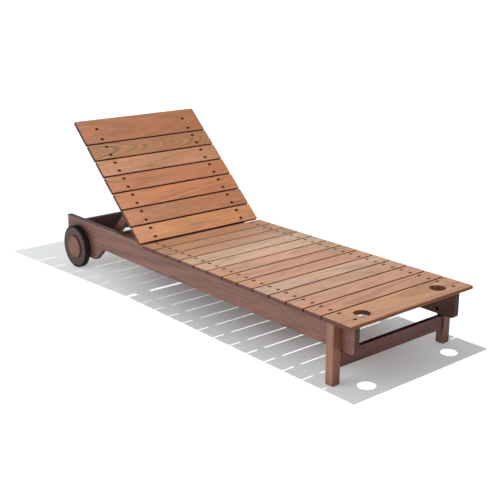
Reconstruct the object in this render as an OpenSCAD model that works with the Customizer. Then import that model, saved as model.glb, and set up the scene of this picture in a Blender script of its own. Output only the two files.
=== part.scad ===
// Reclining wooden sun lounger: two side rails on front legs and rear wheels, a slatted deck,
// and a slatted backrest held up by a hinged prop whose foot bar stands on two notched racks.
// Millimetres. X runs across, +Y from the foot to the head, +Z up. The ground is z = 0 and
// the middle of the footprint is x = y = 0. The rest pose has the backrest raised.

/* [Overall] */
// Length from the edge of the foot slat to the tail of the rails
total_len = 2060; // [2040:5:2100]
// Width of the slats
deck_w = 700; // [690:5:720]
// Height of the deck's top face above the ground
seat_h = 268; // [266:1:290]

/* [Slats] */
// Width of a regular slat
slat_w = 89.5; // [88:0.5:90]
// Gap between neighbouring slats
slat_gap = 7; // [5:0.5:8]
// Thickness of every slat
slat_t = 17; // [16.5:0.5:18]
// Width of the two wide slats, at the foot and at the head
wide_slat_w = 142; // [138:1:144]
// Rounding of the slats' long edges and ends
slat_edge_r = 2; // [1:0.5:3]
// Rounding of the foot slat's front edge
nose_r = 8; // [5:0.5:8]
// Diameter of the two hand holes in the foot slat
hand_hole_d = 66; // [50:1:70]
// Distance of each hand hole from the middle of the foot slat
hand_hole_x = 216; // [150:1:220]

/* [Frame] */
// Distance over the outer faces of the two rails
rail_span = 598; // [590:1:600]
// Thickness of a rail
rail_t = 27; // [25:0.5:29]
// Height of a rail between the leg and the tail lobe
rail_h = 114; // [110:1:118]
// How far the foot slat stands out in front of the rails
foot_overhang = 25; // [15:1:32]
// How far the tail lobe hangs below the rail
lobe_drop = 70; // [60:1:72]
// Distance from the rail's tail to where the lobe's slope starts
lobe_len = 336; // [326:1:346]
// Run of the lobe's slope along the rail
lobe_slope = 80; // [74:1:88]
// Thickness of the cross boards and the stretcher
board_t = 22; // [19:0.5:24]

/* [Legs] */
// Side of the square front legs
leg_w = 39; // [37:1:41]
// Distance from the foot slat's front edge to the front of the legs
leg_setback = 91.5; // [85:0.5:100]
// Height of the front stretcher
stretcher_h = 60; // [54:1:62]
// Distance from the rails' lower edge down to the stretcher's top
stretcher_drop = 13; // [8:1:15]

/* [Backrest] */
// Angle of the backrest in the rest pose
recline = 42.5; // [42:0.1:43]
// Distance from the last seat slat to the backrest's hinge pin
hinge_setback = 25; // [24.5:0.1:27]
// Thickness of a backrest stile
stile_t = 25; // [24:0.5:25.5]
// Height of a backrest stile below the slats
stile_h = 38; // [36:0.5:38]
// Distance between the middles of the two stiles
stile_span = 512; // [511:0.5:513]
// Length of a stile beyond the hinge pin
stile_len = 724; // [715:1:735]
// Distance from the hinge pin to the lowest back slat, along the backrest
first_slat_u = 20; // [19:0.5:21]

/* [Prop] */
// Distance from the hinge pin to the prop's pin, along the backrest
prop_pin_u = 258; // [256:0.5:260]
// Slope of the prop below the horizontal in the rest pose
prop_slope = 45; // [44:0.1:46]
// Height of the foot bar's middle below the deck's top face
foot_bar_drop = 72; // [71.5:0.1:74]
// Diameter of the prop's foot bar
foot_bar_d = 20; // [18:1:20]
// Thickness of a prop arm
arm_t = 24; // [22:1:24]
// Height of a prop arm
arm_h = 36; // [34:1:36]
// Depth of the racks' notches
notch_depth = 5; // [4:0.5:6]

/* [Wheels] */
// Diameter over the tyre
wheel_d = 214; // [206:2:220]
// Width of the wheel and its tyre
wheel_w = 27; // [26:0.5:28]
// Thickness of the rubber tyre
tyre_t = 10; // [8:0.5:12]
// Diameter of the hub disc
hub_d = 118; // [112:1:126]
// How far the hub disc stands out from the wheel's face
hub_proud = 5; // [3:0.5:6]
// Diameter of the steel axle
axle_d = 16; // [14:1:16]
// Distance from the rails' tail to the axle
axle_inset = 110.5; // [108:0.5:114]

/* [Fasteners] */
// Diameter of the slat screws' heads
screw_head_d = 11.6; // [10:0.1:12.4]
// Diameter of the slat screws' shanks
screw_d = 4.4; // [4:0.1:5]
// Length of the slat screws
screw_len = 44; // [40:1:46]
// Distance of the screws from a slat's long edge
screw_inset = 20.5; // [18:0.5:23]
// Distance between the left and right screws in the deck
deck_screw_span = 560; // [556:1:564]
// Diameter of the backrest's hinge bolts
hinge_bolt_d = 10; // [8:1:10]
// Diameter of the prop's and the legs' bolts
small_bolt_d = 8; // [6:1:8]

/* [Hidden] */
$fn = 48;

// Clearances
close_gap = 0.1;    // between a fastener or tenon and the wood around it
run_gap = 0.05;     // radial, between a pin and the bore that turns on it
side_gap = 0.3;     // between faces that slide past each other
flat_gap = 0.5;     // between the lowered backrest and the rails
over = 1;           // how far a cutting shape runs past the face it cuts

// Deck
seat_slats = 12;
back_slats = 6;
pitch = slat_w + slat_gap;
foot_y = -total_len / 2;
tail_y = total_len / 2;
deck_under_z = seat_h - slat_t;
deck_start_y = foot_y + wide_slat_w + slat_gap;
deck_end_y = deck_start_y + seat_slats * pitch - slat_gap;
head_screw_inset = 59;
foot_screw_insets = [17.5, 98];
foot_corner_r = 4;

// Rails
rail_out_x = rail_span / 2;
rail_in_x = rail_out_x - rail_t;
rail_mid_x = (rail_out_x + rail_in_x) / 2;
rail_front_y = foot_y + foot_overhang;
rail_bottom_z = deck_under_z - rail_h;
lobe_bottom_z = rail_bottom_z - lobe_drop;
lobe_y = tail_y - lobe_len;
rail_edge_r = 2;
rail_nose_r = 15;
lobe_r = 14;
tail_r = 25;

// Legs and cross boards
leg_y = foot_y + leg_setback + leg_w / 2;
leg_mid_x = rail_out_x + leg_w / 2;
leg_edge_r = 2.5;
foot_chamfer = 4;
tenon_len = 18;
tenon_t = 12;
tenon_shoulder = 9;
stretcher_y = leg_y - 0.5;
stretcher_mid_z = rail_bottom_z - stretcher_drop - stretcher_h / 2;
rail_tenon_len = 12;
cross_rail_h = 70;
cross_rail_setback = 155;
cross_board_h = 89;
cross_board_t = 25;
cross_board_y = tail_y - 2 - cross_board_t / 2;
cross_top_z = deck_under_z - stile_h - flat_gap;
leg_bolt_drops = [30, 95];
leg_bolt_len = 54;

// Backrest
hinge_y = deck_end_y + hinge_setback;
hinge_z = deck_under_z - stile_h / 2 + flat_gap;
cross_rail_y = hinge_y + cross_rail_setback;
stile_mid_x = stile_span / 2;
stile_out_x = stile_mid_x + stile_t / 2;
stile_in_x = stile_mid_x - stile_t / 2;
head_slat_u = first_slat_u + back_slats * pitch;

// Prop. The foot bar keeps its height while the prop turns prop_ratio times as far as the backrest.
prop_arm_len = (prop_pin_u * sin(recline) + hinge_z - seat_h + foot_bar_drop) / sin(prop_slope);
foot_bar_z = seat_h - foot_bar_drop;
swing_ratio = prop_pin_u * cos(recline) / (prop_arm_len * cos(prop_slope));
arm_out_x = stile_in_x - 1.5;
arm_mid_x = arm_out_x - arm_t / 2;
foot_bar_len = 2 * (rail_in_x - 6);
arm_pin_head_d = 17;
arm_pin_head_h = 4.5;

// Racks: one notch for each position of the backrest
rack_angles = [60, 51, recline, 33, 22];
rack_t = 22;
rack_h = 36;
rack_end = 24;
rack_top_z = foot_bar_z - foot_bar_d / 2 - 0.4;
rack_mid_x = rail_in_x - rack_t / 2;
function prop_dir(angle) = -prop_slope - swing_ratio * (angle - recline);
function foot_bar_y(angle) = hinge_y + prop_pin_u * cos(angle) + prop_arm_len * cos(prop_dir(angle));
rack_front_y = foot_bar_y(60) - rack_end;
rack_back_y = foot_bar_y(0) + rack_end / 2;

// Wheels
wheel_r = wheel_d / 2;
axle_y = tail_y - axle_inset;
wheel_gap = 4;
wheel_in_x = rail_out_x + wheel_gap;
wheel_out_x = wheel_in_x + wheel_w;
disc_r = wheel_r - tyre_t;
hub_sink = 4;
clip_room_r = 16;
clip_room_depth = 10;
tyre_edge_r = 3;
tyre_joint_w = 4;
tyre_joint_angle = 148;
axle_beam_h = 44;
clip_room_x = wheel_out_x - hub_sink - clip_room_depth;

wood_deck = "peru";
wood_back = "chocolate";
wood_frame = "sienna";
steel = "dimgray";
rubber = "black";

// ---------- shared shapes ----------

// Rectangle centred on the origin with round corners
module round_rect(size_x, size_y, r) {
  square([size_x - 2 * r, size_y], center = true);
  square([size_x, size_y - 2 * r], center = true);
  for (sx = [-1, 1], sy = [-1, 1]) {
    translate([sx * (size_x / 2 - r), sy * (size_y / 2 - r)]) circle(r);
  }
}

// Board centred on the origin, with all its edges eased
module eased_board(size_x, size_y, size_z, r) {
  intersection() {
    linear_extrude(size_z, center = true) round_rect(size_x, size_y, r);
    rotate([90, 0, 0]) linear_extrude(size_y, center = true) round_rect(size_x, size_z, r);
    rotate([90, 0, 90]) linear_extrude(size_x, center = true) round_rect(size_y, size_z, r);
  }
}

// Board with a tenon at each end, centred on the origin and lying along X
module tenoned_board(length, thick, height, tenon) {
  eased_board(length, thick, height, 1.5);
  cube([length + 2 * tenon, tenon_t, height - 2 * tenon_shoulder], center = true);
}

// Mortise for the tenon at the +X end of such a board
module mortise(length, height, tenon) {
  translate([length / 2 - over, -tenon_t / 2 - close_gap, -height / 2 + tenon_shoulder - close_gap])
    cube([tenon + over + 0.5, tenon_t + 2 * close_gap, height - 2 * (tenon_shoulder - close_gap)]);
}

// Cylinder along X from x0 to x1
module rod_x(x0, x1, r) {
  translate([x0, 0, 0]) rotate([0, 90, 0]) cylinder(h = x1 - x0, r = r);
}

// Ring along X from x0 to x1
module ring_x(x0, x1, r_in, r_out) {
  difference() {
    rod_x(x0, x1, r_out);
    rod_x(x0 - over, x1 + over, r_in);
  }
}

// Hexagonal nut along X from x0 to x1
module nut_x(x0, x1, r_in, across) {
  difference() {
    translate([x0, 0, 0]) rotate([0, 90, 0]) cylinder(h = x1 - x0, d = across, $fn = 6);
    rod_x(x0 - over, x1 + over, r_in);
  }
}

// Domed bolt head whose flat side is at x = 0 and whose dome points along -X
module dome_head(d, h) {
  dome_r = (d * d / 4 + h * h) / (2 * h);
  rotate([0, -90, 0]) intersection() {
    cylinder(h = h, d = d);
    translate([0, 0, h - dome_r]) sphere(dome_r);
  }
}

// Countersunk screw with a square socket, whose head is sunk below z = 0
head_sink = 3;
head_rim = 0.8;
head_cone = 3.2;
socket_w = 3;
module screw(length) {
  difference() {
    translate([0, 0, -head_sink]) {
      translate([0, 0, -head_rim]) cylinder(h = head_rim, d = screw_head_d, $fn = 24);
      translate([0, 0, -head_rim - head_cone])
        cylinder(h = head_cone, d1 = screw_d, d2 = screw_head_d, $fn = 24);
      translate([0, 0, -length]) cylinder(h = length - head_rim - head_cone / 2, d = screw_d, $fn = 24);
    }
    translate([-socket_w / 2, -socket_w / 2, -head_sink - 2.2]) cube([socket_w, socket_w, 3]);
  }
}

// Hole for that screw
module screw_hole(length) {
  wide = screw_head_d + 2 * close_gap;
  narrow = screw_d + 2 * close_gap;
  rim_z = -head_sink - head_rim - close_gap;
  translate([0, 0, rim_z]) cylinder(h = over - rim_z, d = wide, $fn = 24);
  translate([0, 0, rim_z - head_cone]) cylinder(h = head_cone, d1 = narrow, d2 = wide, $fn = 24);
  translate([0, 0, -head_sink - length - 0.5]) cylinder(h = length, d = narrow, $fn = 24);
}

// Puts children at the backrest's hinge: Y then runs up the backrest and Z stands out of its face
module on_backrest() {
  translate([0, hinge_y, hinge_z]) rotate([recline, 0, 0]) children();
}

// Puts children at the prop's pin: Y then runs down the prop arm
module on_prop() {
  on_backrest() translate([0, prop_pin_u, 0]) rotate([-prop_slope - recline, 0, 0]) children();
}

// ---------- where the screws are ----------

function slat_y(i) = deck_start_y + (i - 1) * pitch;
function back_slat_u(i) = first_slat_u + (i - 1) * pitch;
function slat_screws(start) = [start + screw_inset, start + slat_w - screw_inset];
foot_slat_screws = [for (inset = foot_screw_insets) foot_y + wide_slat_w - inset];
head_slat_screws = [head_slat_u + screw_inset, head_slat_u + wide_slat_w - head_screw_inset];
deck_screws = concat(foot_slat_screws, [for (i = [1 : seat_slats]) each slat_screws(slat_y(i))]);
back_screw_us = concat([for (i = [1 : back_slats]) each slat_screws(back_slat_u(i))], head_slat_screws);
rack_screw_ys = [rack_front_y + 18, (rack_front_y + rack_back_y) / 2 + 8, rack_back_y - 18];
rack_screw_z = rack_top_z - rack_h / 2 - 3;

module deck_screw_places(ys, side) {
  for (y = ys) translate([side * deck_screw_span / 2, y, seat_h]) children();
}

module back_screw_places(us, side) {
  on_backrest() for (u = us) translate([side * stile_mid_x, u, stile_h / 2 + slat_t]) children();
}

module rack_screw_places(side) {
  for (y = rack_screw_ys) {
    translate([side * (rail_in_x - rack_t), y, rack_screw_z]) rotate([0, -side * 90, 0]) children();
  }
}

// ---------- frame ----------

// Turning angle of the rail's lower edge where the lobe starts and ends
lobe_angle = atan(lobe_drop / lobe_slope);

// Side view of a rail, drawn with Y to the right and Z up
module rail_outline() {
  cut = lobe_r * tan(lobe_angle / 2);
  corner_y = lobe_y + lobe_slope;
  polygon([
    [rail_front_y, deck_under_z],
    [rail_front_y, rail_bottom_z + rail_nose_r],
    [rail_front_y + rail_nose_r, rail_bottom_z],
    [lobe_y, rail_bottom_z],
    [corner_y - cut * cos(lobe_angle), lobe_bottom_z + cut * sin(lobe_angle)],
    [corner_y + cut, lobe_bottom_z],
    [tail_y - tail_r, lobe_bottom_z],
    [tail_y, lobe_bottom_z + tail_r],
    [tail_y, deck_under_z]
  ]);
  translate([rail_front_y + rail_nose_r, rail_bottom_z + rail_nose_r]) circle(rail_nose_r);
  translate([corner_y + cut, lobe_bottom_z + lobe_r]) circle(lobe_r);
  translate([tail_y - tail_r, lobe_bottom_z + tail_r]) circle(tail_r);
}

// The right rail; the left one is its mirror image
module side_rail() {
  tall = deck_under_z - lobe_bottom_z;
  long = tail_y - rail_front_y;
  difference() {
    intersection() {
      translate([rail_in_x, 0, 0]) rotate([90, 0, 90]) linear_extrude(rail_t) rail_outline();
      translate([rail_mid_x, (rail_front_y + tail_y) / 2, lobe_bottom_z + tall / 2])
        rotate([90, 0, 0]) linear_extrude(long, center = true) round_rect(rail_t, tall, rail_edge_r);
      translate([rail_mid_x, (rail_front_y + tail_y) / 2, lobe_bottom_z])
        linear_extrude(tall) round_rect(rail_t, long, rail_edge_r);
    }
    deck_screw_places(deck_screws, 1) screw_hole(screw_len);
    rack_screw_places(1) screw_hole(rack_t + 16);
    leg_bolt_places() rod_x(rail_in_x - over, rail_out_x + over, small_bolt_d / 2 + close_gap);
    translate([0, hinge_y, hinge_z]) rod_x(rail_in_x - over, rail_out_x + over, hinge_bolt_d / 2 + close_gap);
    translate([0, axle_y, wheel_r]) rod_x(rail_in_x - over, rail_out_x + over, axle_d / 2 + close_gap);
    translate([0, cross_rail_y, cross_top_z - cross_rail_h / 2])
      mortise(2 * rail_in_x, cross_rail_h, rail_tenon_len);
    translate([0, cross_board_y, cross_top_z - cross_board_h / 2])
      mortise(2 * rail_in_x, cross_board_h, rail_tenon_len);
  }
}

module side_rail_right() { color(wood_frame) side_rail(); }
module side_rail_left() { color(wood_frame) mirror([1, 0, 0]) side_rail(); }

module leg_bolt_places() {
  for (drop = leg_bolt_drops) translate([0, leg_y, deck_under_z - drop]) children();
}

// Side view of a leg with its foot chamfered, centred on x = 0
module leg_profile() {
  polygon([
    [-leg_w / 2 + foot_chamfer, 0],
    [leg_w / 2 - foot_chamfer, 0],
    [leg_w / 2, foot_chamfer],
    [leg_w / 2, deck_under_z],
    [-leg_w / 2, deck_under_z],
    [-leg_w / 2, foot_chamfer]
  ]);
}

module front_leg() {
  difference() {
    translate([leg_mid_x, leg_y, 0]) intersection() {
      linear_extrude(deck_under_z) round_rect(leg_w, leg_w, leg_edge_r);
      rotate([90, 0, 0]) linear_extrude(leg_w, center = true) leg_profile();
      rotate([90, 0, 90]) linear_extrude(leg_w, center = true) leg_profile();
    }
    translate([0, stretcher_y, stretcher_mid_z]) mortise(2 * rail_out_x, stretcher_h, tenon_len);
    leg_bolt_places() rod_x(rail_out_x - over, rail_in_x + leg_bolt_len + 0.5, small_bolt_d / 2 + close_gap);
  }
}

module front_leg_right() { color(wood_frame) front_leg(); }
module front_leg_left() { color(wood_frame) mirror([1, 0, 0]) front_leg(); }

module front_stretcher() {
  color(wood_frame) translate([0, stretcher_y, stretcher_mid_z])
    tenoned_board(2 * rail_out_x, board_t, stretcher_h, tenon_len);
}

module middle_cross_rail() {
  color(wood_frame) translate([0, cross_rail_y, cross_top_z - cross_rail_h / 2])
    tenoned_board(2 * rail_in_x, board_t, cross_rail_h, rail_tenon_len);
}

module rear_cross_board() {
  color(wood_frame) translate([0, cross_board_y, cross_top_z - cross_board_h / 2])
    tenoned_board(2 * rail_in_x, cross_board_t, cross_board_h, rail_tenon_len);
}

module axle_beam() {
  color(wood_frame) translate([0, axle_y, wheel_r]) difference() {
    eased_board(2 * rail_in_x, axle_beam_h, axle_beam_h, 2);
    rod_x(-rail_in_x - over, rail_in_x + over, axle_d / 2 + close_gap);
  }
}

// The right rack; its notches are round hollows that the foot bar drops into
module rack() {
  difference() {
    translate([rack_mid_x, (rack_front_y + rack_back_y) / 2, rack_top_z - rack_h / 2])
      eased_board(rack_t, rack_back_y - rack_front_y, rack_h, 1.5);
    for (angle = rack_angles) {
      translate([0, foot_bar_y(angle), rack_top_z - notch_depth + foot_bar_d / 2 + side_gap])
        rod_x(rail_in_x - rack_t - over, rail_in_x + over, foot_bar_d / 2 + side_gap);
    }
    rack_screw_places(1) screw_hole(rack_t + 16);
  }
}

module rack_right() { color(wood_frame) rack(); }
module rack_left() { color(wood_frame) mirror([1, 0, 0]) rack(); }

module seat_slat(i) {
  color(wood_deck) difference() {
    translate([0, slat_y(i) + slat_w / 2, seat_h - slat_t / 2])
      eased_board(deck_w, slat_w, slat_t, slat_edge_r);
    for (side = [-1, 1]) deck_screw_places(slat_screws(slat_y(i)), side) screw_hole(screw_len);
  }
}

// Section across the foot slat: a rounded nose in front and eased edges behind
module foot_slat_section() {
  translate([wide_slat_w / 2, 0]) intersection() {
    round_rect(wide_slat_w, slat_t, slat_edge_r);
    translate([nose_r, 0]) round_rect(wide_slat_w + 2 * nose_r, slat_t, nose_r);
  }
  translate([nose_r, 0]) round_rect(2 * nose_r, slat_t, nose_r - 0.01);
}

module foot_slat() {
  color(wood_deck) difference() {
    translate([0, foot_y, seat_h - slat_t / 2]) intersection() {
      rotate([90, 0, 90]) linear_extrude(deck_w, center = true) foot_slat_section();
      translate([0, wide_slat_w / 2, 0]) {
        rotate([90, 0, 0]) linear_extrude(wide_slat_w, center = true) round_rect(deck_w, slat_t, slat_edge_r);
      }
      translate([0, wide_slat_w, 0]) linear_extrude(slat_t, center = true)
        round_rect(deck_w, 2 * wide_slat_w, foot_corner_r);
    }
    for (side = [-1, 1]) {
      translate([side * hand_hole_x, foot_y + wide_slat_w / 2, deck_under_z - over])
        cylinder(h = slat_t + 2 * over, d = hand_hole_d);
      deck_screw_places(foot_slat_screws, side) screw_hole(screw_len);
    }
  }
}

module seat_screws() {
  color(steel) for (side = [-1, 1]) deck_screw_places(deck_screws, side) screw(screw_len);
}

module leg_bolts() {
  color(steel) for (m = [0, 1]) mirror([m, 0, 0]) leg_bolt_places() {
    rod_x(rail_in_x, rail_in_x + leg_bolt_len, small_bolt_d / 2);
    translate([rail_in_x, 0, 0]) dome_head(16, 4);
  }
}

module rack_screws() {
  color(steel) for (side = [-1, 1]) rack_screw_places(side) screw(rack_t + 16);
}

module hinge_bolts() {
  head_h = 4.5;
  color(steel) for (m = [0, 1]) mirror([m, 0, 0]) translate([0, hinge_y, hinge_z]) {
    rod_x(stile_in_x - 11, rail_out_x, hinge_bolt_d / 2);
    translate([rail_out_x, 0, 0]) mirror([1, 0, 0]) dome_head(22, head_h);
  }
}

module hinge_washers() {
  color(steel) for (m = [0, 1]) mirror([m, 0, 0]) translate([0, hinge_y, hinge_z]) {
    ring_x(stile_out_x + side_gap, rail_in_x, hinge_bolt_d / 2 + run_gap, 13);
    ring_x(stile_in_x - side_gap - 1.6, stile_in_x - side_gap, hinge_bolt_d / 2 + run_gap, 13);
  }
}

module hinge_nuts() {
  nut_x = stile_in_x - side_gap - 1.6;
  color(steel) for (m = [0, 1]) mirror([m, 0, 0]) translate([0, hinge_y, hinge_z]) {
    nut_x(nut_x - 8, nut_x, hinge_bolt_d / 2 + run_gap, 19);
  }
}

// ---------- wheels ----------

module axle() {
  color(steel) translate([0, axle_y, wheel_r]) {
    rod_x(-(wheel_out_x - hub_sink - 2), wheel_out_x - hub_sink - 2, axle_d / 2);
  }
}

module axle_washers() {
  color(steel) for (m = [0, 1]) mirror([m, 0, 0]) translate([0, axle_y, wheel_r]) {
    ring_x(rail_out_x, wheel_in_x - side_gap, axle_d / 2 + run_gap, 16);
    ring_x(clip_room_x + side_gap, clip_room_x + side_gap + 1.7, axle_d / 2 + run_gap, 14.5);
  }
}

module axle_clips() {
  clip_x = clip_room_x + side_gap + 1.7;
  color(steel) for (m = [0, 1]) mirror([m, 0, 0]) translate([0, axle_y, wheel_r]) {
    ring_x(clip_x, clip_x + 4, axle_d / 2 + run_gap, 12.5);
  }
}

// Turns a profile drawn with radius to the right and X upward about the axle
module around_axle() {
  translate([0, axle_y, wheel_r]) rotate([0, 90, 0]) rotate_extrude($fn = 96) children();
}

// Section of the right wheel's disc, hollowed for the hub disc and the axle's clip
module disc_section() {
  bore_r = axle_d / 2 + run_gap;
  difference() {
    translate([bore_r, wheel_in_x]) square([disc_r - bore_r, wheel_w]);
    translate([bore_r - over, clip_room_x]) square([clip_room_r - bore_r + over, clip_room_depth + over]);
    translate([bore_r - over, wheel_out_x - hub_sink])
      square([hub_d / 2 + close_gap - bore_r + over, hub_sink + over]);
  }
}

module wheel_disc() { around_axle() disc_section(); }

module tyre() {
  difference() {
    around_axle() difference() {
      translate([wheel_r - tyre_t, wheel_in_x + wheel_w / 2])
        round_rect(2 * tyre_t, wheel_w, tyre_edge_r);
      translate([disc_r + close_gap / 2 - 2 * tyre_t, wheel_in_x - over])
        square([2 * tyre_t, wheel_w + 2 * over]);
    }
    translate([0, axle_y, wheel_r]) rotate([tyre_joint_angle, 0, 0])
      translate([wheel_in_x - over, disc_r - over, -tyre_joint_w / 2])
        cube([wheel_w + 2 * over, tyre_t + 2 * over, tyre_joint_w]);
  }
}

module hub_disc() {
  around_axle() difference() {
    translate([0, wheel_out_x - hub_sink + (hub_sink + hub_proud) / 2])
      round_rect(hub_d, hub_sink + hub_proud, 2);
    translate([-hub_d, wheel_out_x - hub_sink - over]) square([hub_d, hub_sink + hub_proud + 2 * over]);
  }
}

module wheel_right() { color(wood_frame) wheel_disc(); }
module wheel_left() { color(wood_frame) mirror([1, 0, 0]) wheel_disc(); }
module tyre_right() { color(rubber) tyre(); }
module tyre_left() { color(rubber) mirror([1, 0, 0]) tyre(); }
module hub_right() { color(wood_deck) hub_disc(); }
module hub_left() { color(wood_deck) mirror([1, 0, 0]) hub_disc(); }

// ---------- backrest ----------

// Bar along Y from its pin at y = 0 to y = length, with round ends of its own half height
module pinned_bar(thick, height, y0, y1) {
  rotate([90, 0, 90]) linear_extrude(thick, center = true) {
    translate([y0, -height / 2]) square([y1 - y0, height]);
    if (y0 == 0) circle(height / 2);
  }
}

module back_stile() {
  difference() {
    on_backrest() translate([stile_mid_x, 0, 0]) pinned_bar(stile_t, stile_h, 0, stile_len);
    on_backrest() rod_x(stile_in_x - over, stile_out_x + over, hinge_bolt_d / 2 + run_gap);
    on_backrest() translate([0, prop_pin_u, 0]) {
      rod_x(stile_in_x - over, stile_out_x + over, small_bolt_d / 2 + close_gap);
      rod_x(stile_out_x - arm_pin_head_h - 0.3, stile_out_x + over, arm_pin_head_d / 2 + close_gap);
    }
    back_screw_places(back_screw_us, 1) screw_hole(screw_len);
  }
}

module back_stile_right() { color(wood_frame) back_stile(); }
module back_stile_left() { color(wood_frame) mirror([1, 0, 0]) back_stile(); }

module back_board(u, w, screw_us) {
  color(wood_back) difference() {
    on_backrest() translate([0, u + w / 2, stile_h / 2 + slat_t / 2])
      eased_board(deck_w, w, slat_t, slat_edge_r);
    for (side = [-1, 1]) back_screw_places(screw_us, side) screw_hole(screw_len);
  }
}

module back_slat(i) {
  back_board(back_slat_u(i), slat_w, slat_screws(back_slat_u(i)));
}

module head_slat() {
  back_board(head_slat_u, wide_slat_w, head_slat_screws);
}

module back_screws() {
  color(steel) for (side = [-1, 1]) back_screw_places(back_screw_us, side) screw(screw_len);
}

// ---------- prop ----------

module prop_bolts() {
  color(steel) for (m = [0, 1]) mirror([m, 0, 0]) on_backrest() translate([0, prop_pin_u, 0]) {
    rod_x(arm_out_x - arm_t - 9, stile_out_x - 1, small_bolt_d / 2);
    rod_x(stile_out_x - arm_pin_head_h, stile_out_x, arm_pin_head_d / 2);
  }
}

module prop_nuts() {
  nut_x = arm_out_x - arm_t - side_gap;
  color(steel) for (m = [0, 1]) mirror([m, 0, 0]) on_backrest() translate([0, prop_pin_u, 0]) {
    nut_x(nut_x - 6.5, nut_x, small_bolt_d / 2 + run_gap, 15);
  }
}

module prop_arm() {
  on_prop() difference() {
    translate([arm_mid_x, 0, 0]) {
      pinned_bar(arm_t, arm_h, 0, prop_arm_len);
      translate([0, prop_arm_len, 0]) rotate([0, 90, 0]) cylinder(h = arm_t, d = arm_h, center = true);
    }
    rod_x(arm_out_x - arm_t - over, arm_out_x + over, small_bolt_d / 2 + run_gap);
    translate([0, prop_arm_len, 0])
      rod_x(arm_out_x - arm_t - over, arm_out_x + over, foot_bar_d / 2 + close_gap);
  }
}

module prop_arm_right() { color(wood_frame) prop_arm(); }
module prop_arm_left() { color(wood_frame) mirror([1, 0, 0]) prop_arm(); }

module prop_bar() {
  color(wood_frame) on_prop() translate([0, prop_arm_len, 0])
    rod_x(-foot_bar_len / 2, foot_bar_len / 2, foot_bar_d / 2);
}

// ---------- drawing ----------

side_rail_left();
side_rail_right();
front_leg_left();
front_leg_right();
front_stretcher();
middle_cross_rail();
rear_cross_board();
axle_beam();
rack_left();
rack_right();
foot_slat();
seat_slat(1);  // seat_slat_01
seat_slat(2);  // seat_slat_02
seat_slat(3);  // seat_slat_03
seat_slat(4);  // seat_slat_04
seat_slat(5);  // seat_slat_05
seat_slat(6);  // seat_slat_06
seat_slat(7);  // seat_slat_07
seat_slat(8);  // seat_slat_08
seat_slat(9);  // seat_slat_09
seat_slat(10);  // seat_slat_10
seat_slat(11);  // seat_slat_11
seat_slat(12);  // seat_slat_12
seat_screws();
leg_bolts();
rack_screws();
hinge_bolts();
hinge_washers();
hinge_nuts();
axle();
axle_washers();
axle_clips();
back_stile_left();
back_stile_right();
back_slat(1);  // back_slat_1
back_slat(2);  // back_slat_2
back_slat(3);  // back_slat_3
back_slat(4);  // back_slat_4
back_slat(5);  // back_slat_5
back_slat(6);  // back_slat_6
head_slat();
back_screws();
prop_bolts();
prop_nuts();
prop_arm_left();
prop_arm_right();
prop_bar();
wheel_left();
wheel_right();
tyre_left();
tyre_right();
hub_left();
hub_right();
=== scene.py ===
import math
import random

import bpy
from mathutils import Matrix, Vector

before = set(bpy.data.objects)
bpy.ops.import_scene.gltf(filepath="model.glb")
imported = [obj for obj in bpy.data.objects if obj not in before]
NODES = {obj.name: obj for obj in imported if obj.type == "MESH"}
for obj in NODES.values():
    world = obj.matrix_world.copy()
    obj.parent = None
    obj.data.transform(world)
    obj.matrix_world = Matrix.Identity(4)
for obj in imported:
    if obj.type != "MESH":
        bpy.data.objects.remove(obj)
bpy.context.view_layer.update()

# The backrest's angle and the prop's slope at rest, and the axle's place, as in part.scad
RECLINE = math.radians(42.5)
PROP_SLOPE = math.radians(45)
AXLE_Y = 0.9195
AXLE_Z = 0.107

# ---------- colour ----------

# How much darker the wood's own colour is than the tone it shows under the lamps
OIL = 0.6
# What the tone is multiplied by where the wood is warmer, cooler, redder, or paler with painted
# sheen
WARM = (1.1, 0.95, 0.86)
COOL = (0.88, 0.9, 0.96)
RED = (0.9, 0.72, 0.74)
PALE_SHEEN = (1.16, 1.34, 1.55)
# Tint of the painted shade on a board's back
BACK_SHADE_TINT = (1.0, 0.9, 0.85)


def rgb(text):
    """Linear colour from a hex string."""
    parts = [int(text[i : i + 2], 16) / 255 for i in (0, 2, 4)]
    linear = [c / 12.92 if c <= 0.04045 else ((c + 0.055) / 1.055) ** 2.4 for c in parts]
    return (*linear, 1.0)


def tinted(colour, by):
    """A colour with each channel multiplied by its own number, up to full."""
    return tuple(min(c * k, 1.0) for c, k in zip(colour[:3], by)) + (1.0,)


def scaled(colour, k):
    return tinted(colour, (k, k, k))


# ---------- node helpers ----------


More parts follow.
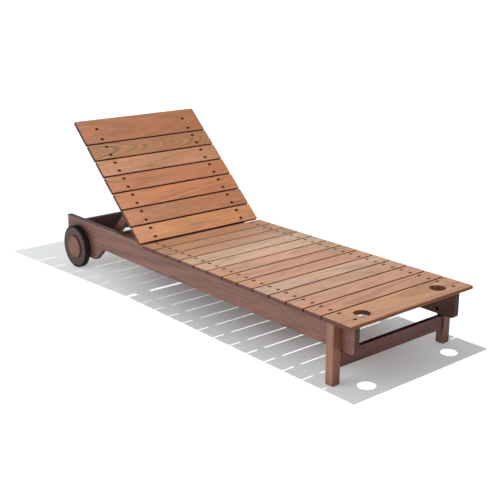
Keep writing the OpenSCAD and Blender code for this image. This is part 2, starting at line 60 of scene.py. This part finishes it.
class Tree:
    """The node tree of a material or world, with short calls for the nodes used here."""

    def __init__(self, owner):
        self.owner = owner
        owner.use_nodes = True
        self.tree = owner.node_tree
        self.tree.nodes.clear()

    def node(self, kind, inputs, **settings):
        n = self.tree.nodes.new(kind)
        for key, value in settings.items():
            setattr(n, key, value)
        for key, value in inputs.items():
            if isinstance(value, bpy.types.NodeSocket):
                self.tree.links.new(value, n.inputs[key])
            else:
                n.inputs[key].default_value = value
        return n

    def coordinates(self, kind):
        return self.node("ShaderNodeTexCoord", {}).outputs[kind]

    def maths(self, operation, a, b=0.0, clamp=False):
        settings = {"operation": operation, "use_clamp": clamp}
        return self.node("ShaderNodeMath", {0: a, 1: b}, **settings).outputs[0]

    def plus(self, a, b):
        return self.maths("ADD", a, b)

    def minus(self, a, b):
        return self.maths("SUBTRACT", a, b)

    def times(self, a, b):
        return self.maths("MULTIPLY", a, b)

    def absolute(self, a):
        return self.maths("ABSOLUTE", a)

    def hypotenuse(self, a, b):
        squares = self.plus(self.maths("POWER", a, 2.0), self.maths("POWER", b, 2.0))
        return self.maths("SQRT", squares)

    def vector(self, operation, a, b):
        return self.node("ShaderNodeVectorMath", {0: a, 1: b}, operation=operation).outputs[0]

    def length(self, vector):
        n = self.node("ShaderNodeVectorMath", {0: vector}, operation="LENGTH")
        return n.outputs["Value"]

    def split(self, vector):
        return tuple(self.node("ShaderNodeSeparateXYZ", {0: vector}).outputs)

    def place(self, point, location=(0, 0, 0), rotation=(0, 0, 0), scale=(1, 1, 1)):
        inputs = {"Vector": point, "Location": location, "Rotation": rotation, "Scale": scale}
        return self.node("ShaderNodeMapping", inputs, vector_type="POINT").outputs[0]

    def turn_normal(self, normal, rotation):
        inputs = {"Vector": normal, "Rotation": rotation}
        return self.node("ShaderNodeMapping", inputs, vector_type="NORMAL").outputs[0]

    def noise(self, at, detail, roughness, scale=1.0, output="Fac"):
        inputs = {"Vector": at, "Scale": scale, "Detail": detail, "Roughness": roughness}
        return self.node("ShaderNodeTexNoise", inputs).outputs[output]

    def noise_of_number(self, number, detail, roughness):
        inputs = {"W": number, "Scale": 1.0, "Detail": detail, "Roughness": roughness}
        return self.node("ShaderNodeTexNoise", inputs, noise_dimensions="1D").outputs["Fac"]

    def remap(self, value, low, high, to_low=0.0, to_high=1.0):
        inputs = {0: value, 1: low, 2: high, 3: to_low, 4: to_high}
        return self.node("ShaderNodeMapRange", inputs, clamp=True).outputs[0]

    def ramp(self, value, stops):
        n = self.node("ShaderNodeValToRGB", {0: value})
        band = n.color_ramp
        while len(band.elements) < len(stops):
            band.elements.new(0.5)
        for element, (position, colour) in zip(band.elements, stops):
            element.position = position
            element.color = colour
        return n.outputs[0]

    def mix(self, factor, a, b, blend="MIX"):
        settings = {"data_type": "RGBA", "blend_type": blend}
        return self.node("ShaderNodeMix", {0: factor, 6: a, 7: b}, **settings).outputs[2]

    def output(self, kind, shader):
        self.node(kind, {"Surface": shader.outputs[0]})
        return self.owner

    def finish(self, colour, rough, height, depth, strength=0.4, metallic=0.0, spec=0.5):
        """End the tree in a glossy surface with a bump as deep as depth, in metres."""
        relief = {"Strength": strength, "Distance": depth, "Height": height}
        inputs = {
            "Base Color": colour,
            "Metallic": metallic,
            "Roughness": rough,
            "Normal": self.node("ShaderNodeBump", relief).outputs[0],
            "Specular IOR Level": spec,
        }
        shader = self.node("ShaderNodeBsdfPrincipled", inputs)
        return self.output("ShaderNodeOutputMaterial", shader)


# ---------- wood ----------

# Turns that bring a board's grain onto the texture's X axis and its best face onto +Z. The name
# tells which way the grain runs and which way the best face looks.
X_FACING_UP = (0.0, 0.0, 0.0)
X_FACING_FRONT = (-math.pi / 2, 0.0, 0.0)
Y_FACING_UP = (0.0, 0.0, -math.pi / 2)
Y_FACING = {
    "left": (math.pi / 2, math.pi / 2, 0.0),
    "right": (-math.pi / 2, -math.pi / 2, 0.0),
}
Z_FACING = {"left": (0.0, math.pi / 2, 0.0), "right": (0.0, -math.pi / 2, 0.0)}
# The same for the boards and bars of the raised backrest and its prop
BACK_BOARD = (-RECLINE, 0.0, 0.0)
BACK_BAR = (-RECLINE, 0.0, -math.pi / 2)
PROP_BAR = (PROP_SLOPE, 0.0, -math.pi / 2)

# Noises in the wood: how fast each changes along and across the board, its detail and roughness
WAVER = (1.6, 9, 2.0, 0.45)
STREAKS = (2.4, 105, 4.0, 0.66)
FIBRES = (9, 330, 3.0, 0.65)
PORES = (42, 1150, 1.0, 0.5)
FLECKS = (24, 260, 2.0, 0.5)
CLOUDS = (5, 22, 3.0, 0.6)
BLUSH = (7, 30, 3.0, 0.6)
SHEEN_WISPS = (14, 85, 4.0, 0.68)
WORN_PATCHES = (30, 90, 3.0, 0.6)
END_SPECKLE = (30, 700, 2.0, 0.6)
SMUDGE = (40, 40, 3.0, 0.6)
# Detail and roughness of the growth rings' noise
RINGS = (4.0, 0.62)

# How far the fibres waver from side to side, in metres
WAVER_REACH = 0.035
# The fibres' share of the grain's shade. The rings and the streaks have the rest.
FIBRE_SHARE = 0.28
# The wood's roughness where the grain is darkest and lightest, and how much rougher its ends are
ROUGH_DARK = 0.52
ROUGH_LIGHT = 0.38
ROUGH_END = 0.25
# Depth of the grain's bump, in metres
WOOD_RELIEF = 0.0006

# Radii in metres from a screw between which its stain fades, the stain's strength, and how much
# the distance along the grain counts
STAIN_FADE = (0.0064, 0.0082)
STAIN = 0.85
STAIN_ALONG = 0.65
# Radii in metres from the axle between which the painted shadow of the wheel fades on the rails
WHEEL_SHADOW_FADE = (0.11, 0.165)
# Radii in metres of the dark joint on the wheel and on its hub
WHEEL_JOINT = 0.063
HUB_JOINT = 0.059
# How far inside the joint its grime starts and is full, and how far outside it ends
GRIME_START = 0.009
GRIME_FULL = 0.003
GRIME_END = 0.006
# Radii between which the wheel's outermost rim goes pale, and its tone
RIM_FADE = (0.0964, 0.0968)
RIM_TONE = "b3a3a4"


def middle(node):
    """Middle of a piece's box."""
    points = [v.co for v in NODES[node].data.vertices]
    return [(min(p[i] for p in points) + max(p[i] for p in points)) / 2 for i in range(3)]


def dress(node, material):
    mesh = NODES[node].data
    mesh.materials.clear()
    mesh.materials.append(material)


class Board(Tree):
    """The wood of one board. Its colour is laid on in layers by the methods below."""

    def __init__(self, node, tone, turn):
        super().__init__(bpy.data.materials.new(f"{node}_wood"))
        self.tone = scaled(rgb(tone), OIL)
        self.warm = tinted(self.tone, WARM)
        self.cool = tinted(self.tone, COOL)
        self.colour = self.tone

        rng = random.Random(node)
        self.offset = [rng.uniform(3, 30) for _ in range(3)]
        self.slope = rng.uniform(0.02, 0.07) * rng.choice((-1, 1))
        self.aside = rng.uniform(-0.04, 0.04)

        # the place on the board: along the grain, across it, and out of the best face
        self.here = self.coordinates("Object")
        from_middle = self.vector("SUBTRACT", self.here, middle(node))
        self.on_board = self.place(from_middle, rotation=turn)
        # how much a face is an edge, an end or the back, by where it looks
        along, across, out = self.split(self.turn_normal(self.coordinates("Normal"), turn))
        self.across = self.absolute(across)
        self.at_edge = self.remap(self.across, 0.45, 0.9)
        self.at_end = self.remap(self.absolute(along), 0.45, 0.85)
        self.at_back = self.remap(out, -0.3, -0.8)

        # the same place among the fibres, which waver slowly along the board
        waver = self.drawn_out(WAVER, self.on_board, output="Color")
        waver = self.vector("SUBTRACT", waver, (0.5, 0.5, 0.5))
        waver = self.vector("MULTIPLY", waver, (WAVER_REACH, WAVER_REACH, WAVER_REACH))
        self.in_grain = self.vector("ADD", self.on_board, waver)

    def drawn_out(self, noise, at, offset=None, output="Fac"):
        """One of the noises above, drawn out along the board."""
        along, across, detail, roughness = noise
        at = self.place(at, offset or self.offset, scale=(along, across, across))
        return self.noise(at, detail, roughness, output=output)

    def lay(self, factor, colour, blend="MIX"):
        self.colour = self.mix(factor, self.colour, colour, blend)

    def rings(self, heart, ring, arch):
        """Growth rings, which are cones about a pith that slopes a little through the board."""
        slope, aside = (arch, 0.0) if arch else (self.slope, self.aside)
        pith = self.place(self.in_grain, (0, aside, heart), rotation=(0, slope, 0))
        _, sideways, down = self.split(pith)
        count = self.times(self.hypotenuse(sideways, down), ring)
        return self.noise_of_number(self.plus(count, self.offset[0]), *RINGS)

    def grow(self, rings, figure, contrast):
        """Lay the grain. Gives its shade, from dark to light, and its height."""
        streaks = self.drawn_out(STREAKS, self.in_grain)
        fibres = self.drawn_out(FIBRES, self.in_grain)
        pores = self.remap(self.drawn_out(PORES, self.in_grain), 0.6, 0.7)
        flecks = self.remap(self.drawn_out(FLECKS, self.in_grain), 0.6, 0.72)
        clouds = self.drawn_out(CLOUDS, self.on_board)
        blush = self.drawn_out(BLUSH, self.in_grain, self.offset[::-1])
        sheen_wisps = self.drawn_out(SHEEN_WISPS, self.in_grain, self.offset[::-1])

        shade = self.times(rings, figure)
        shade = self.plus(shade, self.times(streaks, max(1 - FIBRE_SHARE - figure, 0.0)))
        shade = self.plus(shade, self.times(fibres, FIBRE_SHARE))
        shade = self.remap(shade, 0.38, 0.62)
        dark = scaled(self.cool, 1 - 0.34 * contrast)
        light = scaled(self.warm, 1 + 0.26 * contrast)
        self.colour = self.ramp(shade, [(0.0, dark), (0.5, self.tone), (1.0, light)])
        self.lay(self.remap(clouds, 0.38, 0.62, 0.0, 0.42), scaled(self.warm, 1.1))
        self.lay(self.remap(blush, 0.48, 0.66, 0.0, 0.28), tinted(self.tone, RED))
        # pale wisps along the grain: paler figure with a painted sheen on it
        self.lay(self.remap(sheen_wisps, 0.51, 0.66, 0.0, 0.42), tinted(self.tone, PALE_SHEEN))
        self.lay(self.times(flecks, 0.3 * contrast), scaled(self.cool, 0.55))
        self.lay(self.times(pores, 0.42), scaled(self.cool, 0.35))

        height = self.minus(self.times(fibres, 0.5), self.times(pores, 0.6))
        return shade, self.plus(height, self.times(rings, 0.35))

    def wear_arrises(self):
        """The arrises are worn a little paler in patches."""
        off_face = self.remap(self.across, 0.12, 0.4)
        off_edge = self.remap(self.across, 0.85, 0.6)
        patches = self.drawn_out(WORN_PATCHES, self.on_board)
        patches = self.remap(patches, 0.45, 0.7, 0.0, 0.55)
        arris = self.times(off_face, off_edge)
        self.lay(self.times(arris, patches), scaled(self.warm, 1.35))

    def darken_faces(self, edge, under, end):
        """Painted shade on the narrow faces and the back, and darker end grain, which has drunk
        more oil.
        """
        # painted shade: the narrow faces lie in the gaps and under other parts, and the back
        # faces the shaded floor
        self.lay(self.at_edge, (*edge, 1.0), "MULTIPLY")
        self.lay(self.at_back, scaled(BACK_SHADE_TINT, under), "MULTIPLY")
        speckle = self.drawn_out(END_SPECKLE, self.on_board)
        tone = tinted(self.tone, end)
        stops = [(0.3, scaled(tone, 0.75)), (0.7, scaled(tone, 1.2))]
        self.lay(self.at_end, self.ramp(speckle, stops))

    def stain_at_screws(self, screw_along, *screws_across):
        """Iron from the screws stains the wood around them."""
        along, across, _ = self.split(self.on_board)
        along = self.times(self.minus(self.absolute(along), screw_along), STAIN_ALONG)
        for screw in screws_across:
            reach = self.hypotenuse(along, self.minus(across, screw))
            self.lay(self.remap(reach, *STAIN_FADE, STAIN, 0.0), scaled(self.cool, 0.16))

    def from_axle(self):
        _, back, up = self.split(self.place(self.here, (0, -AXLE_Y, -AXLE_Z)))
        return self.hypotenuse(back, up)

    # Painted shadow of the wheel on the rail, darkest close to the axle
    def soil_by_wheel(self, wheel_shadow):
        shadowed = self.remap(self.from_axle(), *WHEEL_SHADOW_FADE, wheel_shadow, 0.0)
        self.lay(shadowed, scaled(self.cool, 0.3))

    def mark_disc(self, joint):
        """Grime in the joint between the wheel and its hub, and paler wood inside it."""
        reach = self.from_axle()
        paler = self.remap(reach, joint * 0.75, joint * 0.15, 0.0, 0.45)
        self.lay(paler, scaled(self.warm, 1.3))
        inside = self.remap(reach, joint - GRIME_START, joint - GRIME_FULL)
        outside = self.remap(reach, joint + GRIME_END, joint)
        smudge = self.drawn_out(SMUDGE, self.on_board)
        smudge = self.remap(smudge, 0.3, 0.7, 0.35, 0.9)
        self.lay(self.times(self.times(inside, outside), smudge), scaled(self.cool, 0.34))
        self.lay(self.remap(reach, *RIM_FADE), scaled(rgb(RIM_TONE), OIL))


def wood(
    node,
    tone,
    turn=X_FACING_UP,
    contrast=1.0,
    figure=0.5,
    heart=0.09,
    ring=95.0,
    arch=None,
    edge=(0.89, 0.67, 0.61),
    under=0.6,
    end=(0.42, 0.3, 0.31),
    sawn=0.0,
    spec=0.36,
    screws=None,
    wheel_shadow=None,
    joint=None,
):
    """Dress a piece in oiled hardwood.

    The growth rings' pith runs under the board, so a flat face shows arches and an edge shows
    straight lines. heart is how far below the board's middle it lies, ring how closely the rings
    follow each other, and arch its slope on a board with arches all along its middle. figure is
    the rings' share of the grain's shade, and contrast how strong the shades are.

    edge and under paint shade on the narrow faces and on the back, end darkens the end grain,
    and sawn roughens the narrow faces. screws gives how far the screws are from the board's
    middle, along it and then across it. grime sets how dark the painted shadow of a wheel is on
    the wood close to it, and joint the radius of a dark joint about the axle.
    """
    board = Board(node, tone, turn)
    shade, height = board.grow(board.rings(heart, ring, arch), figure, contrast)
    board.wear_arrises()
    board.darken_faces(edge, under, end)
    if screws:
        board.stain_at_screws(*screws)
    if wheel_shadow:
        board.soil_by_wheel(wheel_shadow)
    if joint:
        board.mark_disc(joint)

    rough = board.remap(shade, 0.0, 1.0, ROUGH_DARK, ROUGH_LIGHT)
    rough = board.plus(rough, board.times(board.at_end, ROUGH_END))
    rough = board.maths("ADD", rough, board.times(board.at_edge, sawn), clamp=True)
    dress(node, board.finish(board.colour, rough, height, depth=WOOD_RELIEF, spec=spec))


# ---------- rubber and metal ----------


def rubber(name):
    """Black rubber, dusty in patches."""
    t = Tree(bpy.data.materials.new(name))
    here = t.coordinates("Object")
    dust = t.noise(here, 4.0, 0.6, scale=38.0)
    grit = t.noise(here, 2.0, 0.6, scale=900.0)
    colour = t.ramp(dust, [(0.35, rgb("1d1a1d")), (0.62, rgb("282528")), (0.8, rgb("373336"))])
    rough = t.remap(dust, 0.3, 0.7, 0.62, 0.82)
    return t.finish(colour, rough, grit, depth=0.0003, spec=0.12)


def metal(name, tone, worn, rough, metallic, spec):
    """Metal with fine turning marks and rubbed spots."""
    t = Tree(bpy.data.materials.new(name))
    here = t.coordinates("Object")
    wear = t.noise(here, 4.0, 0.6, scale=160.0)
    marks = t.noise(t.place(here, scale=(2600, 300, 300)), 2.0, 0.5)
    colour = t.ramp(wear, [(0.4, rgb(tone)), (0.75, rgb(worn))])
    rough = t.remap(wear, 0.3, 0.7, *rough)
    gloss = {"strength": 0.25, "metallic": metallic, "spec": spec}
    return t.finish(colour, rough, marks, depth=0.0001, **gloss)


# ---------- dressing the pieces ----------

# How dark the painted shade on the narrow faces is, and how the ends look: on the slats, on the
# foot slat's rounded nose, on the boards of the frame and on the side rails
SLAT = {"edge": (0.24, 0.14, 0.11), "end": (0.3, 0.21, 0.22), "sawn": 0.4}
NOSE = {**SLAT, "edge": (0.53, 0.32, 0.32)}
FRAME = {"edge": (0.45, 0.31, 0.26)}
# The side rails also take the painted shadow of the wheel
RAIL = {**FRAME, "end": (0.4, 0.385, 0.46), "under": 0.7, "wheel_shadow": 0.6}

DARK_NODES = ["seat_screws", "back_screws", "rack_screws", "leg_bolts"]
STEEL_NODES = ["hinge_bolts", "hinge_washers", "hinge_nuts", "prop_bolts", "prop_nuts"]
STEEL_NODES += ["axle", "axle_washers", "axle_clips"]

# Where the screws are, as wood() takes them
SEAT_SCREWS = (0.28, -0.02425, 0.02425)
FOOT_SCREWS = (0.28, 0.0535, -0.027)
BACK_SCREWS = (0.256, -0.02425, 0.02425)
HEAD_SCREWS = (0.256, -0.0505, 0.012)

# Tones of the slats, from the foot to the backrest's lower end, and from there to the head
SEAT_TONES = ["cc9575", "cf9e80", "cfa283", "d4ae92", "cf9b7c", "cd9a79"]
SEAT_TONES += ["d4a685", "dcb798", "dab598", "cca181", "ca9a79", "c9926f"]
BACK_TONES = ["d9996a", "c2855e", "cb885e", "c2825b", "c48e68", "a97a56"]
# How the grain runs. The last regular back slat has arches all along it.
PLAIN = {"figure": 0.4, "heart": 0.08}
ARCHED = {"figure": 0.8, "heart": 0.055, "ring": 230.0, "contrast": 1.25, "arch": -0.11}
LEG = {"figure": 0.6, "heart": 0.04, "ring": 150.0, "contrast": 2.1}
HUB = {"figure": 0.55, "heart": 0.03, "ring": 150.0, "contrast": 1.6}

wood("foot_slat", "cc9972", figure=0.4, heart=0.1, screws=FOOT_SCREWS, **NOSE)
for i, tone in enumerate(SEAT_TONES, 1):
    heart = 0.04 + 0.03 * (i % 4)
    wood(f"seat_slat_{i:02d}", tone, figure=0.4, heart=heart, screws=SEAT_SCREWS, **SLAT)
for i, tone in enumerate(BACK_TONES, 1):
    grain = ARCHED if i == len(BACK_TONES) else PLAIN
    wood(f"back_slat_{i}", tone, BACK_BOARD, screws=BACK_SCREWS, **SLAT, **grain)
wood("head_slat", "b17755", BACK_BOARD, figure=0.45, heart=0.1, screws=HEAD_SCREWS, **SLAT)

# The right rail and leg take darker tones than the left ones: painted shade, as the far side of
# the lounger lies in shade
for side, rail, leg in (("left", "936455", "af8166"), ("right", "7c574b", "93705e")):
    outward = Z_FACING[side]
    wood(f"side_rail_{side}", rail, Y_FACING[side], contrast=1.5, figure=0.3, heart=0.06, **RAIL)
    wood(f"front_leg_{side}", leg, Z_FACING["left"], **LEG)
    wood(f"rack_{side}", "7a5647", Y_FACING_UP)
    wood(f"back_stile_{side}", "7d5745", BACK_BAR)
    # The prop arms' dark tone is painted shade, as they stand in shade behind the backrest
    wood(f"prop_arm_{side}", "86584a", PROP_BAR)
    wood(f"wheel_{side}", "5e3e3e", outward, figure=0.3, heart=0.3, spec=0.25, joint=WHEEL_JOINT)
    wood(f"hub_{side}", "8f5d43", outward, joint=HUB_JOINT, **HUB)
    dress(f"tyre_{side}", rubber(f"tyre_rubber_{side}"))
wood("front_stretcher", "78433c", X_FACING_FRONT, contrast=1.5, **PLAIN, **FRAME)
wood("middle_cross_rail", "5f4237", X_FACING_FRONT)
# The rear cross board's dark tone is painted shade under the raised backrest
wood("rear_cross_board", "54342e", X_FACING_FRONT)
wood("axle_beam", "75523f")
wood("prop_bar", "8b6650", contrast=0.7)

screw_coat = metal("screw_coat", "070505", "0f0b0a", (0.75, 0.9), metallic=0.0, spec=0.1)
for node in DARK_NODES:
    dress(node, screw_coat)

steel = metal("bolt_steel", "6b6966", "8d8a86", (0.28, 0.45), metallic=1.0, spec=0.5)
for node in STEEL_NODES:
    dress(node, steel)

# ---------- floor, light and camera ----------

FLOOR_R = 45.0
FLOOR_SIDES = 64
FLOOR_COLOUR = (0.88, 0.9, 0.91, 1.0)
# How strongly the floor glows, by the distance in metres from under the key lamp
GLOW = [(0.5, 0.24), (1.0, 0.29), (1.5, 0.37), (2.0, 0.46), (2.5, 0.56), (4.0, 0.75), (6.0, 1.0)]
# Share of the glow that is left under the lounger, which paints shade there, the half widths in
# metres of the ovals between which it comes back, and how distances in X, Y and Z count in them
SHADED_GLOW = 0.2
SHADED_FROM = 0.2
SHADED_TO = 0.43
OVAL_SHAPE = (1.0, 0.4, 1.0)

# The lamps' places, powers in watts and sizes, and the point they are aimed at
KEY_AT = (-0.10, -0.52, 2.59)
KEY_POWER = 230.0
KEY_SIZE = 0.012
FILL_AT = (-2.3, -0.1, 1.25)
FILL_POWER = 19.0
FILL_SIZE = 1.8
LAMPS_AIM = (0, 0, 0.25)

# How bright the studio looks to the camera, and how much light comes from overhead and from the
# walls: all of them, more from the back one and more from the left one
SEEN = 1.05
CEILING = 0.12
WALL = 0.6
WALL_BACK = 0.35
WALL_LEFT = 0.1

# The camera's place, and how far it is turned right from +Y, tipped down and rolled
CAMERA_AT = (-2.5907, -3.1280, 1.4855)
HEADING = math.radians(40.284)
PITCH = math.radians(17.037)
ROLL = math.radians(0.145)
# Lens and sensor in millimetres, and how far the camera sees in metres
LENS = 67.23
SENSOR = 36.0
SIGHT = 200.0


def add(name, data):
    thing = bpy.data.objects.new(name, data)
    bpy.context.collection.objects.link(thing)
    return thing


def floor_material():
    """White studio floor. It glows a little where the key lamp weakens, so that it stays white
    outside the shadows and fades into the bright backdrop."""
    t = Tree(bpy.data.materials.new("studio_floor"))
    here = t.coordinates("Object")
    far = t.length(t.place(here, (-KEY_AT[0], -KEY_AT[1], 0.0)))
    furthest = GLOW[-1][0]
    stops = [(distance / furthest, (v * 0.97, v, v, 1.0)) for distance, v in GLOW]
    glow = t.ramp(t.maths("DIVIDE", far, furthest), stops)
    # it hardly glows right under the lounger, which paints shade under it
    oval = t.length(t.place(here, scale=OVAL_SHAPE))
    clear = t.remap(oval, SHADED_FROM, SHADED_TO, SHADED_GLOW, 1.0)
    body = t.node("ShaderNodeBsdfDiffuse", {"Color": FLOOR_COLOUR})
    bright = t.node("ShaderNodeEmission", {"Color": glow, "Strength": clear})
    both = t.node("ShaderNodeAddShader", {0: body.outputs[0], 1: bright.outputs[0]})
    return t.output("ShaderNodeOutputMaterial", both)


def floor_outline():
    turns = [2 * math.pi * i / FLOOR_SIDES for i in range(FLOOR_SIDES)]
    return [(FLOOR_R * math.cos(a), FLOOR_R * math.sin(a), 0.0) for a in turns]


def studio_world():
    """Plain white to the camera. What the lounger sees of it is bright behind and to the left,
    and dark in front and overhead."""
    t = Tree(bpy.data.worlds.new("studio"))
    right, back, up = t.split(t.coordinates("Generated"))
    wall = t.plus(t.times(back, WALL_BACK), WALL)
    wall = t.minus(wall, t.times(right, WALL_LEFT))
    low = t.maths("SUBTRACT", 1.0, up, clamp=True)
    room = t.plus(t.times(wall, low), CEILING)
    to_camera = t.node("ShaderNodeLightPath", {}).outputs["Is Camera Ray"]
    level = t.node("ShaderNodeMix", {0: to_camera, 2: room, 3: SEEN}).outputs[0]
    backdrop = t.node("ShaderNodeBackground", {"Color": (1, 1, 1, 1), "Strength": level})
    return t.output("ShaderNodeOutputWorld", backdrop)


def lamp(kind, name, power, at, **settings):
    data = bpy.data.lights.new(name, kind)
    data.energy = power
    for key, value in settings.items():
        setattr(data, key, value)
    thing = add(name, data)
    thing.location = at
    aim = Vector(LAMPS_AIM) - Vector(at)
    thing.rotation_euler = aim.to_track_quat("-Z", "Y").to_euler()
    thing.visible_camera = False


def camera_axes():
    """The camera's right, up and backward directions, as the rows of a matrix."""
    level = math.cos(PITCH)
    ahead = Vector((math.sin(HEADING) * level, math.cos(HEADING) * level, -math.sin(PITCH)))
    level_right = Vector((math.cos(HEADING), -math.sin(HEADING), 0.0))
    level_up = level_right.cross(ahead)
    right = level_right * math.cos(ROLL) + level_up * math.sin(ROLL)
    return Matrix((right, right.cross(ahead), -ahead))


floor_mesh = bpy.data.meshes.new("floor")
floor_mesh.from_pydata(floor_outline(), [], [list(range(FLOOR_SIDES))])
floor_mesh.materials.append(floor_material())
floor = add("floor", floor_mesh)

lamp("POINT", "key", KEY_POWER, KEY_AT, shadow_soft_size=KEY_SIZE)
lamp("AREA", "left_fill", FILL_POWER, FILL_AT, shape="SQUARE", size=FILL_SIZE)

camera_data = bpy.data.cameras.new("camera")
camera_data.lens = LENS
camera_data.sensor_width = SENSOR
camera_data.clip_end = SIGHT
camera = add("camera", camera_data)
camera.matrix_world = Matrix.Translation(CAMERA_AT) @ camera_axes().transposed().to_4x4()

bpy.context.scene.world = studio_world()
bpy.context.scene.camera = camera
bpy.context.scene.view_settings.view_transform = "Standard"
bpy.context.scene.view_settings.look = "None"
